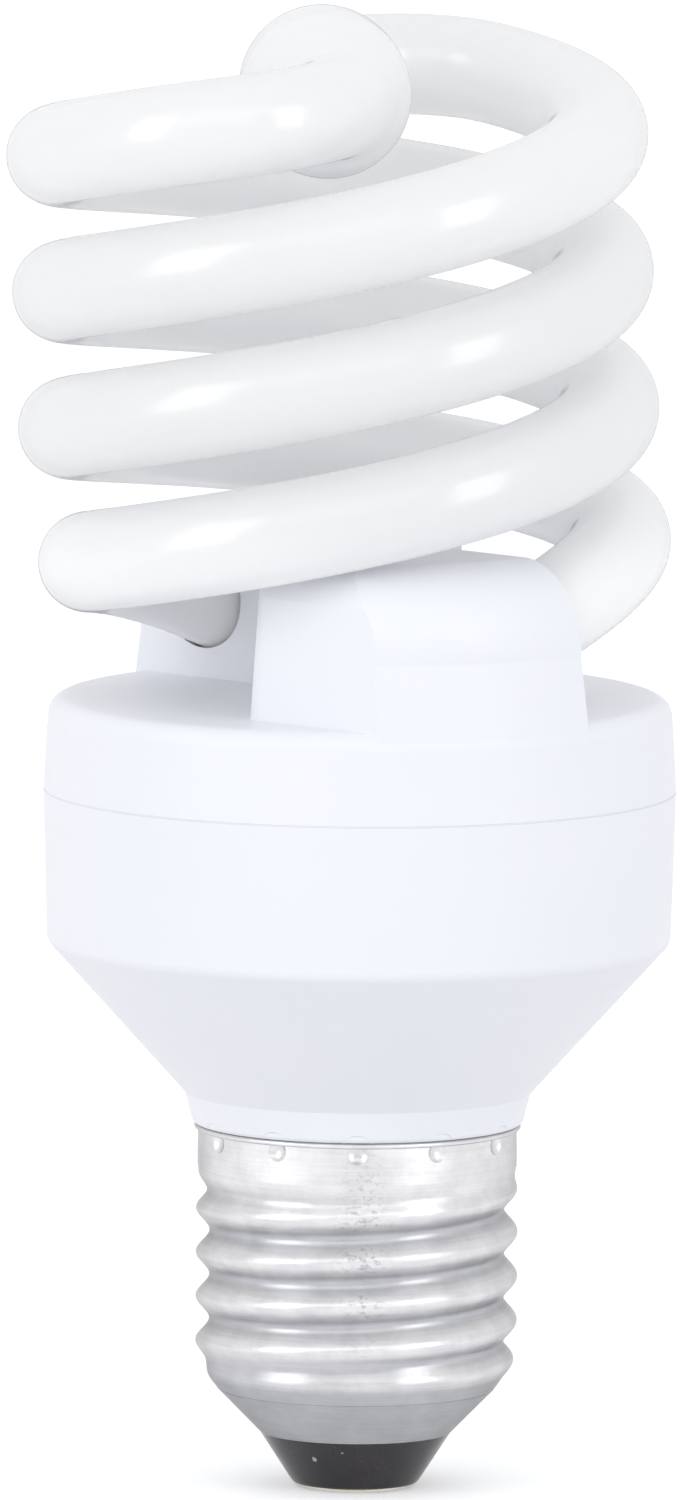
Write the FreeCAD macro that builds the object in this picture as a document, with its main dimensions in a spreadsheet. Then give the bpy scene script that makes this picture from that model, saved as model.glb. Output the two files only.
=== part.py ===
import FreeCAD, Part
import math
import os
import re
import Sketcher

# Spiral energy saving lamp: a white glass tube wound as a double helix, a moulded
# two-part housing round its ballast, and a threaded screw cap of the 27 mm size.
# The lamp stands cap down. Z is the lamp's axis and points to the tube.
# The origin is on the axis, at the underside of the centre contact. -Y is the front.
# Lengths are in millimetres and angles in degrees.

SIZES = {
    # Centre contact and insulator
    "contact_radius": 4.2,
    "contact_flat_radius": 3.2,
    "contact_thickness": 1.3,
    "contact_exposed": 0.3,
    "contact_recess_gap": 0.1,
    "insulator_tip_radius": 5.2,
    "insulator_tip_z": 0.35,
    "insulator_edge": 0.15,
    "insulator_top_z": 7.2,
    "insulator_bore": 1.2,
    "plug_clearance": 0.1,
    # Cap shell
    "shell_sheet": 0.35,
    "shell_mouth_radius": 7.8,
    "shell_mouth_z": 4.5,
    "cone_top_radius": 11.3,
    "cone_top_z": 8.1,
    "thread_radius": 13.1,
    "thread_depth": 1.1,
    "thread_pitch": 3.629,
    "thread_first_crest_z": 10.1,
    "thread_round_z": 11.4,
    "thread_full_from_z": 12.2,
    "thread_fade_height": 2.8,
    "band_radius": 13.0,
    "band_step": 0.05,
    "band_height": 3.5,
    "shell_rim_z": 29.9,
    "crimp_drop": 0.95,
    "crimp_radius": 1.2,
    "crimp_depth": 0.35,
    "crimp_clearance": 0.1,
    # Lower housing
    "housing_wall": 1.5,
    "spigot_clearance": 0.15,
    "spigot_step_lift": 0.4,
    "spigot_step": 0.5,
    "spigot_bottom_z": 13.0,
    "spigot_wall": 1.3,
    "spigot_flare": 2.5,
    "neck_overhang": 0.45,
    "neck_flare": 0.65,
    "neck_height": 2.55,
    "neck_rounding": 0.5,
    "cone_flare": 11.27,
    "cone_height": 12.45,
    "bore_lift": 0.4,
    "shoulder_rounding": 1.2,
    "wall_flare": 0.36,
    "wall_height": 12.3,
    "seam_gap": 0.15,
    "bead_height": 0.35,
    "bead_land": 0.1,
    "bead_z_above_board": 1.0,
    "ledge_depth": 2.6,
    "ledge_sink": 0.5,
    "ledge_width": 1.8,
    "ledge_height": 6.0,
    # Upper cover with its two leg blocks
    "cover_taper": 0.43,
    "cover_height": 7.6,
    "cover_rounding": 1.5,
    "cover_wall": 1.5,
    "skirt_wall": 1.3,
    "skirt_clearance": 0.15,
    "leg_height": 13.0,
    "leg_entry_angle": -43.0,
    "leg_rim_angle": -86.5,
    "leg_side_angle": 140.0,
    "leg_side_length": 14.8,
    "leg_inner_radius": 3.3,
    "leg_draft": 2.5,
    "leg_wall": 1.4,
    "leg_corner": 2.1,
    "leg_side_rounding": 4.0,
    "leg_rounding_lap": 0.06,
    "leg_face_height": 5.4,
    "leg_face_inset": 0.75,
    "leg_crown_inset": 6.3,
    # Discharge tube
    "tube_radius": 4.12,
    "coil_overhang": 0.72,
    "coil_pitch": 22.3,
    "coil_height": 45.15,
    "bridge_height": 49.46,
    "coil_lean": 2.77,
    "coil_nod": 1.04,
    "coil_shift": -0.82,
    "lean_start": 5.0,
    "shift_full": 21.3,
    "tilt_full": 14.0,
    "bridge_angle": -84.8,
    "bridge_bend": 9.0,
    "bulb_radius": 6.84,
    "bulb_reach": 8.8,
    "end_turn_in": 66.0,
    "end_drop_in": 39.6,
    "entry_inset": 3.46,
    "entry_drop": 1.75,
    "end_inside": 24.0,
    "tube_hole_clearance": 0.2,
    "tube_hole_run_in": 16.0,
    "cement_wall": 1.6,
    "cement_length": 17.0,
    "cement_clearance": 0.1,
    "cement_film": 0.03,
    "cement_overrun": 3.0,
    # Circuit board
    "board_drop": 3.2,
    "board_thickness": 1.2,
    "board_clearance": 0.35,
    "lead_radius": 0.3,
    "lead_hole_clearance": 0.1,
    "lead_tip": 0.9,
    "lead_sink": 0.5,
    "cut_overrun": 1.0,
    "part_gap": 0.4,
    # Parts on the board
    "can_radius": 5.0,
    "can_length": 18.0,
    "can_lead_pitch": 5.0,
    "groove_radius": 0.6,
    "groove_offset": 0.2,
    "groove_height": 2.2,
    "core_width": 13.0,
    "core_depth": 4.0,
    "core_height": 12.0,
    "core_yoke": 2.0,
    "core_leg": 3.4,
    "core_window": 3.2,
    "bobbin_wall": 0.5,
    "bobbin_flange": 0.7,
    "bobbin_depth": 10.0,
    "bobbin_clearance": 0.1,
    "pin_inset": 1.1,
    "winding_inset": 0.2,
    "winding_setback": 0.6,
    "winding_corner": 1.2,
    "toroid_radius": 5.0,
    "toroid_bore": 2.6,
    "toroid_height": 3.6,
    "toroid_stand": 1.0,
    "winding_wire_radius": 0.22,
    "winding_clearance": 0.08,
    "transistor_width": 5.0,
    "transistor_depth": 3.0,
    "transistor_height": 7.0,
    "transistor_lead_pitch": 1.7,
    "notch_radius": 0.7,
    "notch_depth": 0.9,
    "notch_drop": 4.9,
    "large_film_width": 11.0,
    "large_film_depth": 4.6,
    "large_film_height": 9.0,
    "small_film_width": 8.5,
    "small_film_depth": 3.4,
    "small_film_height": 7.0,
    "film_corner": 0.6,
    "film_lead_inset": 1.5,
    "diode_radius": 1.35,
    "diode_length": 5.2,
    "diode_lead_pitch": 8.4,
    "resistor_radius": 1.15,
    "resistor_length": 5.6,
    "resistor_lead_pitch": 8.4,
    "diac_radius": 0.95,
    "diac_length": 3.4,
    "diac_lead_pitch": 6.6,
    "disc_radius": 3.2,
    "disc_thickness": 2.4,
    "disc_lead_pitch": 4.0,
    "disc_lead_depth": 1.9,
    "drum_radius": 3.4,
    "drum_height": 7.5,
    "drum_waist": 2.8,
    "drum_flange": 1.1,
    "drum_lead_pitch": 3.6,
    "post_side": 0.9,
    "post_height": 5.0,
    "post_collar": 0.8,
    "post_rim": 0.4,
    "post_tip": 0.2,
    "post_spacing": 2.8,
    # Wires between the cap, the board and the tube
    "wire_radius": 0.35,
    "wire_bend": 2.2,
    "electrode_wire_radius": 0.25,
    "electrode_spacing": 2.6,
    "electrode_run": 2.0,
    "electrode_gap": 0.05,
    "contact_wire_rise": 3.0,
    "contact_wire_run": 3.5,
    "contact_wire_x": 7.4,
    "fuse_radius": 1.7,
    "fuse_length": 9.0,
    "fuse_z": 21.0,
    "shell_wire_x": -8.4,
    "shell_wire_loop_z": 11.2,
    "shell_wire_tip_z": 17.0,
    "shell_slot_width": 1.1,
    "shell_slot_height": 5.0,
}

# Where each part stands on the board: x and y as shares of the board's radius, and its turn about Z
PLACES = {
    "bulk_capacitor": (0.0, 0.0, 20.0),
    "choke": (0.0, 0.561, 0.0),
    "drive_toroid": (0.0, -0.553, 0.0),
    "transistor_1": (0.561, 0.391, 0.0),
    "transistor_2": (0.561, -0.391, 180.0),
    "resonant_capacitor": (-0.612, 0.323, 0.0),
    "start_capacitor": (-0.612, -0.298, 0.0),
    "diode_1": (0.493, -0.578, 0.0),
    "diode_2": (0.408, -0.723, 0.0),
    "diode_3": (-0.493, -0.536, 0.0),
    "diode_4": (-0.427, -0.706, 0.0),
    "resistor_1": (0.497, 0.634, -45.0),
    "resistor_2": (-0.497, 0.634, 45.0),
    "resistor_3": (0.0, -0.889, 0.0),
    "resistor_4": (0.0, 0.867, 0.0),
    "diac": (0.323, -0.23, 75.0),
    "thermistor": (-0.731, 0.009, 90.0),
    "filter_inductor": (0.672, 0.0, 90.0),
}

RIGHT_ANGLE = 90
CRIMPS = 12
LEDGES = 4
LEDGE_START = 45
TOROID_TURNS = 9
TOROID_START = 20
for place, coordinates in PLACES.items():
    for axis, coordinate in zip(("x", "y", "turn"), coordinates):
        SIZES[f"{place}_{axis}"] = coordinate

# Sizes that follow from others, written as formulas of them
DERIVED = {
    "contact_seat_z": "contact_thickness",
    "insulator_side_z": "insulator_tip_z + insulator_edge",
    "plug_radius": "shell_lip_radius - plug_clearance",
    "shell_lip_radius": "shell_mouth_radius - shell_sheet",
    "thread_root_radius": "thread_radius - thread_depth",
    "band_z": "shell_rim_z - band_height",
    "band_bore": "band_radius - shell_sheet",
    "thread_full_to_z": "band_z - thread_fade_height",
    "crimp_z": "shell_rim_z - crimp_drop",
    "crimp_centre": "band_radius + crimp_radius - crimp_depth",
    "spigot_radius": "band_bore - spigot_clearance",
    "spigot_lower_radius": "thread_root_radius - shell_sheet - spigot_clearance",
    "spigot_step_z": "band_z + spigot_step_lift",
    "spigot_bore": "spigot_lower_radius - spigot_wall",
    "neck_base_radius": "band_radius + neck_overhang",
    "neck_top_radius": "neck_base_radius + neck_flare",
    "neck_top_z": "shell_rim_z + neck_height",
    "cone_bore": "neck_top_radius - housing_wall - bore_lift",
    "shoulder_radius": "neck_top_radius + cone_flare",
    "shoulder_z": "neck_top_z + cone_height",
    "seam_radius": "shoulder_radius + wall_flare",
    "seam_z": "shoulder_z + wall_height",
    "housing_bore": "shoulder_radius - housing_wall",
    "board_z": "seam_z - board_drop",
    "board_top": "board_z + board_thickness",
    "board_radius": "housing_bore - board_clearance",
    "bead_z": "board_top + bead_z_above_board",
    "skirt_radius": "housing_bore - skirt_clearance",
    "skirt_bore": "skirt_radius - skirt_wall",
    "cover_base_z": "seam_z + seam_gap",
    "cover_top_radius": "seam_radius - cover_taper",
    "cover_top_z": "seam_z + cover_height",
    "cover_roof_z": "cover_top_z - cover_wall",
    "cover_bore": "cover_top_radius - cover_wall",
    "leg_top_z": "cover_top_z + leg_height",
    "leg_face_radius": "cover_top_radius - leg_face_inset",
    "leg_crown_radius": "cover_top_radius - leg_crown_inset",
    "coil_radius": "cover_top_radius + coil_overhang - tube_radius",
    "coil_top_z": "cover_top_z + coil_height",
    "bridge_z": "cover_top_z + bridge_height",
    "window_height": "core_height - 2 * core_yoke",
    "core_bottom": "0 - part_gap - core_height",
    "window_bottom": "core_bottom + core_yoke",
    "bobbin_bore_width": "core_leg + 2 * bobbin_clearance",
    "bobbin_bore_depth": "core_depth + 2 * bobbin_clearance",
    "bobbin_tube_width": "bobbin_bore_width + 2 * bobbin_wall",
    "bobbin_tube_depth": "bobbin_bore_depth + 2 * bobbin_wall",
    "bobbin_width": "core_leg + 2 * core_window - 2 * bobbin_clearance",
    "bobbin_height": "window_height - 2 * bobbin_clearance",
    "bobbin_bottom": "window_bottom + bobbin_clearance",
    "fuse_top_z": "fuse_z + fuse_length",
}

doc = FreeCAD.newDocument("SpiralLamp")
sheet = doc.addObject("Spreadsheet::Sheet", "Sizes")
for row, (alias, number) in enumerate(SIZES.items(), start=1):
    sheet.set(f"A{row}", alias)
    sheet.set(f"B{row}", str(number))
    sheet.setAlias(f"B{row}", alias)
doc.recompute()


def formula(text):
    """Gives an expression in which each size is read from the sheet."""
    def expand(match):
        word = match.group()
        if word in DERIVED:
            return "(" + formula(DERIVED[word]) + ")"
        return "Sizes." + word if word in SIZES else word
    return re.sub(r"[A-Za-z_]\w*", expand, text)


def size(text):
    """Gives the number that a formula of sizes comes to."""
    return float(sheet.evalExpression(formula(text)))


def bind(item, **formulas):
    """Ties properties of an object to formulas of sizes."""
    for name, text in formulas.items():
        item.setExpression(name, formula(text))
    return item


def put(item, x="0", y="0", z="0", turn="0"):
    """Ties an object's place and its turn about Z to formulas of sizes."""
    item.setExpression("Placement.Base.x", formula(x))
    item.setExpression("Placement.Base.y", formula(y))
    item.setExpression("Placement.Base.z", formula(z))
    item.setExpression("Placement.Rotation.Angle", formula(turn))
    return item


def block(name, width, depth, height, z="0", x="0", y="0"):
    """Makes a box centred on x and y that stands on z."""
    item = bind(doc.addObject("Part::Box", name), Length=width, Width=depth, Height=height)
    return put(item, f"{x} - ({width}) / 2", f"{y} - ({depth}) / 2", z)


def rod(name, radius, length, z="0", x="0", y="0"):
    """Makes an upright cylinder that stands on z."""
    return put(bind(doc.addObject("Part::Cylinder", name), Radius=radius, Height=length), x, y, z)


def level_rod(name, radius, length, z="0", x="0"):
    """Makes a cylinder along X, centred on x, with its axis at z."""
    item = bind(doc.addObject("Part::Cylinder", name), Radius=radius, Height=length)
    item.Placement.Rotation = FreeCAD.Rotation(FreeCAD.Vector(0, 1, 0), RIGHT_ANGLE)
    item.setExpression("Placement.Base.x", formula(f"{x} - ({length}) / 2"))
    item.setExpression("Placement.Base.z", formula(z))
    return item


def fused(name, pieces):
    """Joins pieces into one solid."""
    item = doc.addObject("Part::MultiFuse", name)
    item.Shapes = pieces
    return item


def grouped(name, pieces):
    """Keeps separate solids together under one name."""
    item = doc.addObject("Part::Compound", name)
    item.Links = pieces
    return item


def cut(name, base, tool):
    """Takes a tool away from a base."""
    item = doc.addObject("Part::Cut", name)
    item.Base = base
    item.Tool = tool
    return item


def shaped(name, shape):
    """Holds a shape that Part's own functions made."""
    item = doc.addObject("Part::Feature", name)
    item.Shape = shape
    return item


def turned(name, outline):
    """Makes a body by turning a closed outline of (radius, z) formulas about Z."""
    body = doc.addObject("PartDesign::Body", name)
    sketch = body.newObject("Sketcher::SketchObject", name + "_outline")
    plane = [part for part in body.Origin.OriginFeatures if part.Role == "XZ_Plane"][0]
    sketch.AttachmentSupport = [(plane, "")]
    sketch.MapMode = "FlatFace"
    points = [FreeCAD.Vector(size(radius), size(z), 0) for radius, z in outline]
    for start, end in zip(points, points[1:] + points[:1]):
        sketch.addGeometry(Part.LineSegment(start, end), False)
    for line, (radius, z) in enumerate(outline):
        before = line - 1 if line else len(outline) - 1
        sketch.addConstraint(Sketcher.Constraint("Coincident", before, 2, line, 1))
        for kind, text, axis in (("DistanceX", radius, -2), ("DistanceY", z, -1)):
            if text == "0":
                sketch.addConstraint(Sketcher.Constraint("PointOnObject", line, 1, axis))
            else:
                index = sketch.addConstraint(Sketcher.Constraint(kind, line, 1, size(text)))
                sketch.setExpression(f"Constraints[{index}]", formula(text))
    revolution = body.newObject("PartDesign::Revolution", name + "_turned")
    revolution.Profile = sketch
    revolution.ReferenceAxis = (sketch, ["V_Axis"])
    revolution.Angle = 360
    body.Tip = revolution
    doc.recompute()
    return body


def round_rim(body, radius, z, rounding):
    """Rounds the circular edge of a turned body that has a given radius and height."""
    def is_rim(edge):
        curve = edge.Curve
        return (isinstance(curve, Part.Circle) and abs(curve.Radius - size(radius)) < 0.001
                and abs(curve.Center.z - size(z)) < 0.001)
    base = body.Tip
    names = [f"Edge{number}" for number, edge in enumerate(base.Shape.Edges, start=1) if is_rim(edge)]
    fillet = body.newObject("PartDesign::Fillet", body.Name + "_rounding")
    fillet.Base = (base, names)
    fillet.setExpression("Radius", formula(rounding))
    body.Tip = fillet
    doc.recompute()
    return body


def polar(radius, angle, z=0.0):
    """Gives the point at a radius and an angle about Z."""
    return FreeCAD.Vector(radius * math.cos(math.radians(angle)), radius * math.sin(math.radians(angle)), z)


def smoothstep(low, high, at):
    """Rises smoothly from 0 at low to 1 at high."""
    share = min(max((at - low) / (high - low), 0.0), 1.0)
    return share * share * (3 - 2 * share)


# Centre contact: a button with a rounded underside, let into the insulator

def centre_contact():
    """Turns the contact button."""
    return turned("centre_contact", [
        ("0", "0"),
        ("contact_flat_radius", "0"),
        ("contact_radius", "contact_exposed"),
        ("contact_radius", "contact_seat_z"),
        ("0", "contact_seat_z"),
    ])


# Insulator: a black cone below the shell, with a plug that fills the shell's mouth

def cap_insulator():
    """Turns the insulator, with the contact's recess below and the wire's bore through it."""
    rise = "(insulator_top_z - shell_mouth_z)"
    slope = "(cone_top_radius - shell_mouth_radius) / (cone_top_z - shell_mouth_z)"
    return turned("cap_insulator", [
        ("insulator_bore", "contact_seat_z"),
        ("contact_radius + contact_recess_gap", "contact_seat_z"),
        ("contact_radius + contact_recess_gap", "insulator_tip_z"),
        ("insulator_tip_radius - insulator_edge", "insulator_tip_z"),
        ("insulator_tip_radius", "insulator_side_z"),
        ("shell_mouth_radius", "shell_mouth_z"),
        ("plug_radius", "shell_mouth_z"),
        (f"plug_radius + {rise} * {slope}", "insulator_top_z"),
        ("insulator_bore", "insulator_top_z"),
    ])


# Cap shell: thin rolled sheet, made as an outer form less an inner form

THREAD_ROWS_PER_PITCH = 12
THREAD_STEPS = 48
QUARTERS = 4


def thread_form(inset):
    """Makes the solid inside the knuckle thread's surface, set in by a distance.

    The crest climbs one pitch in each turn counter-clockwise, as a right-hand thread does.
    """
    pitch = size("thread_pitch")
    bottom = size("cone_top_z")
    top = size("band_z")
    first_crest = size("thread_first_crest_z")

    def radius_at(z, angle):
        swell = 2 * smoothstep(2 * bottom - size("thread_round_z"), size("thread_round_z"), z) - 1
        fade = smoothstep(size("thread_full_to_z"), top, z)
        envelope = size("cone_top_radius") + (size("thread_radius") - size("cone_top_radius")) * swell
        envelope -= size("thread_radius - band_radius + band_step") * fade
        depth = size("thread_depth") * smoothstep(bottom, size("thread_full_from_z"), z) * (1 - fade)
        phase = 2 * math.pi * ((z - first_crest) / pitch - angle / 360)
        return envelope - depth * (1 - math.cos(phase)) / 2 - inset

    rows = int((top - bottom) / pitch * THREAD_ROWS_PER_PITCH) + 1
    levels = [bottom + (top - bottom) * row / rows for row in range(rows + 1)]
    return closed_form(ring_faces(radius_at, levels), (bottom, top))


def ring_faces(radius_at, levels):
    """Makes four smooth faces through the radii given for each level and angle."""
    angles = [360 * step / THREAD_STEPS for step in range(THREAD_STEPS)]
    uprights = []
    for angle in angles:
        upright = Part.BSplineCurve()
        upright.interpolate(Points=[polar(radius_at(z, angle), angle, z) for z in levels], Parameters=levels)
        uprights.append(upright)
    rings = []
    for points in zip(*[upright.getPoles() for upright in uprights]):
        ring = Part.BSplineCurve()
        ring.interpolate(Points=list(points), Parameters=angles + [360.0], PeriodicFlag=True)
        rings.append(ring)
    surface = Part.BSplineSurface()
    surface.buildFromPolesMultsKnots(
        [list(row) for row in zip(*[ring.getPoles() for ring in rings])], rings[0].getMultiplicities(),
        uprights[0].getMultiplicities(), rings[0].getKnots(), uprights[0].getKnots(), True, False, 3, 3)
    faces = []
    for quarter in range(QUARTERS):
        piece = surface.copy()
        piece.segment(360 * quarter / QUARTERS, 360 * (quarter + 1) / QUARTERS, levels[0], levels[-1])
        faces.append(piece.toShape())
    return faces


def closed_form(walls, levels):
    """Closes a ring of wall faces with a flat face at each level and makes a solid."""
    lids = []
    for level in levels:
        edges = [edge for wall in walls for edge in wall.Edges
                 if abs(edge.BoundBox.ZMin - level) + abs(edge.BoundBox.ZMax - level) < 0.001]
        lids.append(Part.Face(Part.Wire(Part.__sortEdges__(edges))))
    return sewn_solid(walls + lids)


def sewn_solid(faces):
    """Sews faces that share their edges into one solid."""
    skin = Part.makeCompound(faces)
    skin.sewShape(0.001)
    solid = Part.Solid(skin.Shells[0])
    return solid if solid.Volume > 0 else solid.reversed()


def cap_shell():
    """Makes the threaded shell with its crimps as one sheet of even thickness."""
    sheet_wall = size("shell_sheet")
    cone_z = size("cone_top_z")
    mouth_z = size("shell_mouth_z")
    slant = (size("cone_top_radius") - size("shell_mouth_radius")) / (cone_z - mouth_z)
    overlap = 0.02
    reach = 1.0

    def form(inset, below, above):
        low = mouth_z - below
        cone = Part.makeCone(size("shell_mouth_radius") - inset - below * slant,
                             size("cone_top_radius") - inset + overlap, cone_z - low,
                             FreeCAD.Vector(0, 0, low))
        band = Part.makeCylinder(size("band_radius") - inset, size("shell_rim_z") - size("band_z") + above,
                                 FreeCAD.Vector(0, 0, size("band_z")))
        return cone.fuse([thread_form(inset), band])

    def dents(radius):
        centres = [polar(size("crimp_centre"), 360 * dent / CRIMPS - RIGHT_ANGLE, size("crimp_z"))
                   for dent in range(CRIMPS)]
        return Part.makeCompound([Part.makeSphere(radius, centre) for centre in centres])

    hollow = form(sheet_wall, reach, reach).cut(dents(size("crimp_radius") + sheet_wall))
    return shaped("cap_shell", form(0.0, 0.0, 0.0).cut(hollow).cut(dents(size("crimp_radius"))))


# Lower housing: spigot, neck, cone and straight wall, with ledges for the board

def lower_housing():
    """Turns the housing, adds the ledges and cuts the crimps' seats and the wire's slot."""
    shell = turned("housing_shell", [
        ("spigot_bore", "spigot_bottom_z"),
        ("spigot_lower_radius", "spigot_bottom_z"),
        ("spigot_lower_radius", "spigot_step_z"),
        ("spigot_radius", "spigot_step_z + spigot_step"),
        ("spigot_radius", "shell_rim_z"),
        ("neck_base_radius", "shell_rim_z"),
        ("neck_top_radius", "neck_top_z"),
        ("shoulder_radius", "shoulder_z"),
        ("seam_radius", "seam_z"),
        ("housing_bore", "seam_z"),
        ("housing_bore", "bead_z + bead_height + bead_land"),
        ("housing_bore + bead_height", "bead_z"),
        ("housing_bore", "bead_z - bead_height - bead_land"),
        ("housing_bore", "shoulder_z + bore_lift"),
        ("cone_bore", "neck_top_z + bore_lift"),
        ("spigot_bore", "neck_top_z - spigot_flare"),
    ])
    round_rim(shell, "neck_base_radius", "shell_rim_z", "neck_rounding")
    round_rim(shell, "shoulder_radius", "shoulder_z", "shoulder_rounding")
    ledges = []
    for ledge in range(LEDGES):
        arm = block(f"ledge_{ledge + 1}", "ledge_depth + ledge_sink", "ledge_width", "ledge_height")
        arm.setExpression("Placement.Base.x", formula("housing_bore - ledge_depth"))
        holder = grouped(f"ledge_holder_{ledge + 1}", [arm])
        put(holder, z="board_z - ledge_height", turn=f"{360 * ledge / LEDGES + LEDGE_START}")
        ledges.append(holder)
    seats = [Part.makeSphere(size("crimp_radius + shell_sheet + crimp_clearance"),
                             polar(size("crimp_centre"), 360 * dent / CRIMPS - RIGHT_ANGLE, size("crimp_z")))
             for dent in range(CRIMPS)]
    slot = block("shell_wire_slot", "2 * spigot_wall + 2 * cut_overrun", "shell_slot_width",
                 "shell_slot_height + cut_overrun", "spigot_bottom_z - cut_overrun", "0 - spigot_bore")
    tools = grouped("housing_cuts", [shaped("crimp_seats", Part.makeCompound(seats)), slot])
    return cut("lower_housing", fused("housing_with_ledges", [shell] + ledges), tools)


# Leg blocks: hollow towers on the cover that the tube's ends go into

def leg_outline(inset):
    """Gives the front leg's plan corners, with its entry, side and end walls moved in by a distance.

    The outer wall lies beyond the cover, because the crown trims the leg there.
    """
    entry = size("leg_entry_angle")
    rim = size("leg_rim_angle")
    side = size("leg_side_angle")
    middle = (entry + rim) / 2
    rim_point = polar(size("cover_top_radius"), rim)
    back_corner = rim_point + polar(size("leg_side_length"), side)
    inner_corner = polar(size("leg_inner_radius"), entry)
    end = math.degrees(math.atan2(inner_corner.y - back_corner.y, inner_corner.x - back_corner.x))
    walls = [(inner_corner, entry), (polar(2 * size("cover_top_radius"), middle), middle - RIGHT_ANGLE),
             (rim_point, side), (back_corner, end)]
    moved = [(point + polar(inset, angle - RIGHT_ANGLE), angle) for point, angle in walls]
    return [crossing(moved[number - 1], moved[number]) for number in range(len(moved))]


def crossing(first, second):
    """Gives the point where two lines, each a point and an angle, cross."""
    start, angle = first
    along = polar(1, angle)
    other, turn = second
    across = polar(1, turn + RIGHT_ANGLE)
    return start + along * ((other - start).dot(across) / along.dot(across))


def leg_form(inset, bottom, top):
    """Makes one leg's form between two levels: a tower with draft under a rounded crown."""
    base = size("cover_top_z")
    draft = math.tan(math.radians(size("leg_draft")))
    wires = []
    for level in (bottom, top):
        outline = leg_outline(inset + (level - base) * draft)
        corners = [FreeCAD.Vector(point.x, point.y, level) for point in outline]
        wires.append(Part.makePolygon(corners + corners[:1]))
    tower = Part.makeLoft(wires, True, True)
    upright = [edge for edge in tower.Edges if edge.BoundBox.ZLength > (top - bottom) / 2]
    tower = tower.makeFillet(size("leg_corner") - inset / 2, upright)
    return tower.common(crown_form(inset, bottom, top)).common(side_form(inset, bottom))


def crown_form(inset, bottom, top):
    """Turns the crown that rounds the legs' outer faces into their tops."""
    rim = size("cover_top_radius") - inset
    face = size("leg_face_radius") - inset
    face_z = size("cover_top_z + leg_face_height")
    crown = size("leg_crown_radius") - inset
    middle = FreeCAD.Vector(crown + (face - crown) * math.sin(math.pi / 4), 0,
                            face_z + (top - face_z) * math.sin(math.pi / 4))
    corners = [FreeCAD.Vector(0, 0, bottom), FreeCAD.Vector(rim, 0, bottom), FreeCAD.Vector(face, 0, face_z),
               FreeCAD.Vector(crown, 0, top), FreeCAD.Vector(0, 0, top)]
    edges = [Part.makeLine(corners[0], corners[1]), Part.makeLine(corners[1], corners[2]),
             Part.Arc(corners[2], middle, corners[3]).toShape(),
             Part.makeLine(corners[3], corners[4]), Part.makeLine(corners[4], corners[0])]
    return Part.Face(Part.Wire(edges)).revolve(FreeCAD.Vector(), FreeCAD.Vector(0, 0, 1), 360)


def side_form(inset, bottom):
    """Makes the prism that rounds the front leg's side wall into its top.

    Below the rounding it lies beyond the side wall by the lap.
    """
    radius = size("leg_side_rounding") - inset
    lap = size("leg_rounding_lap")
    draft = math.tan(math.radians(size("leg_draft")))
    side = size("leg_side_angle")
    centre_z = size("leg_top_z - leg_side_rounding") + lap
    depth = (centre_z - size("cover_top_z")) * draft + size("leg_side_rounding") - lap
    inward = polar(1, side - RIGHT_ANGLE)
    reach = 4 * size("cover_top_radius")
    start = polar(size("cover_top_radius"), size("leg_rim_angle")) + inward * depth - polar(reach / 2, side)

    def at(across, z):
        return start + inward * across + FreeCAD.Vector(0, 0, z)

    low = bottom - 1
    corner = math.sqrt(0.5)
    edges = [Part.makeLine(at(-radius - (centre_z - low) * draft, low), at(-radius, centre_z)),
             Part.Arc(at(-radius, centre_z), at(-radius * corner, centre_z + radius * corner),
                      at(0, centre_z + radius)).toShape(),
             Part.makeLine(at(0, centre_z + radius), at(reach, centre_z + radius)),
             Part.makeLine(at(reach, centre_z + radius), at(reach, low)),
             Part.makeLine(at(reach, low), at(-radius - (centre_z - low) * draft, low))]
    return Part.Face(Part.Wire(edges)).extrude(polar(reach, side))


def half_turn(shape):
    """Gives the copy of a shape on the other side of the axis."""
    copy = shape.copy()
    copy.rotate(FreeCAD.Vector(), FreeCAD.Vector(0, 0, 1), 180)
    return copy


# Discharge tube: a smooth surface carried round a path, split into short faces

HELIX_STEP = 10.0
BRIDGE_STEPS = 10
STATIONS_PER_FACE = 9
SWELL_POWER = 3.4


def bridge_plan():
    """Gives the plan of half the bridge: a straight from the centre and a bend that joins the coil."""
    angle = size("bridge_angle")
    bend = size("bridge_bend")
    reach = size("coil_radius") - bend
    swing = math.asin(bend / reach)
    join = angle - math.degrees(swing)
    straight = reach * math.cos(swing)
    centre = polar(reach, join)
    turn = math.degrees(swing) + RIGHT_ANGLE
    points = [polar(straight * step / BRIDGE_STEPS, angle) for step in range(BRIDGE_STEPS)]
    first = angle + RIGHT_ANGLE
    points += [centre + polar(bend, first - turn * step / BRIDGE_STEPS) for step in range(BRIDGE_STEPS)]
    return points, join + 360


def helix_station(angle):
    """Gives a point of the first strand's path at an angle that falls as it winds down.

    Near the leg the path bends inward and down, and it runs on straight once inside.
    """
    def bend(stretch):
        past = (entry_angle() + stretch - angle) / stretch
        return max(past, 0.0) ** 2 if past < 1 else 2 * past - 1

    radius = size("coil_radius") - size("entry_inset") * bend(size("end_turn_in"))
    z = size("coil_top_z") + size("coil_pitch") * (angle - 180) / 360
    return polar(radius, angle, z - size("entry_drop") * bend(size("end_drop_in")))


def entry_angle():
    """Gives the winding angle at which the first strand reaches its leg's face."""
    return size("leg_entry_angle") - 360


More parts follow.
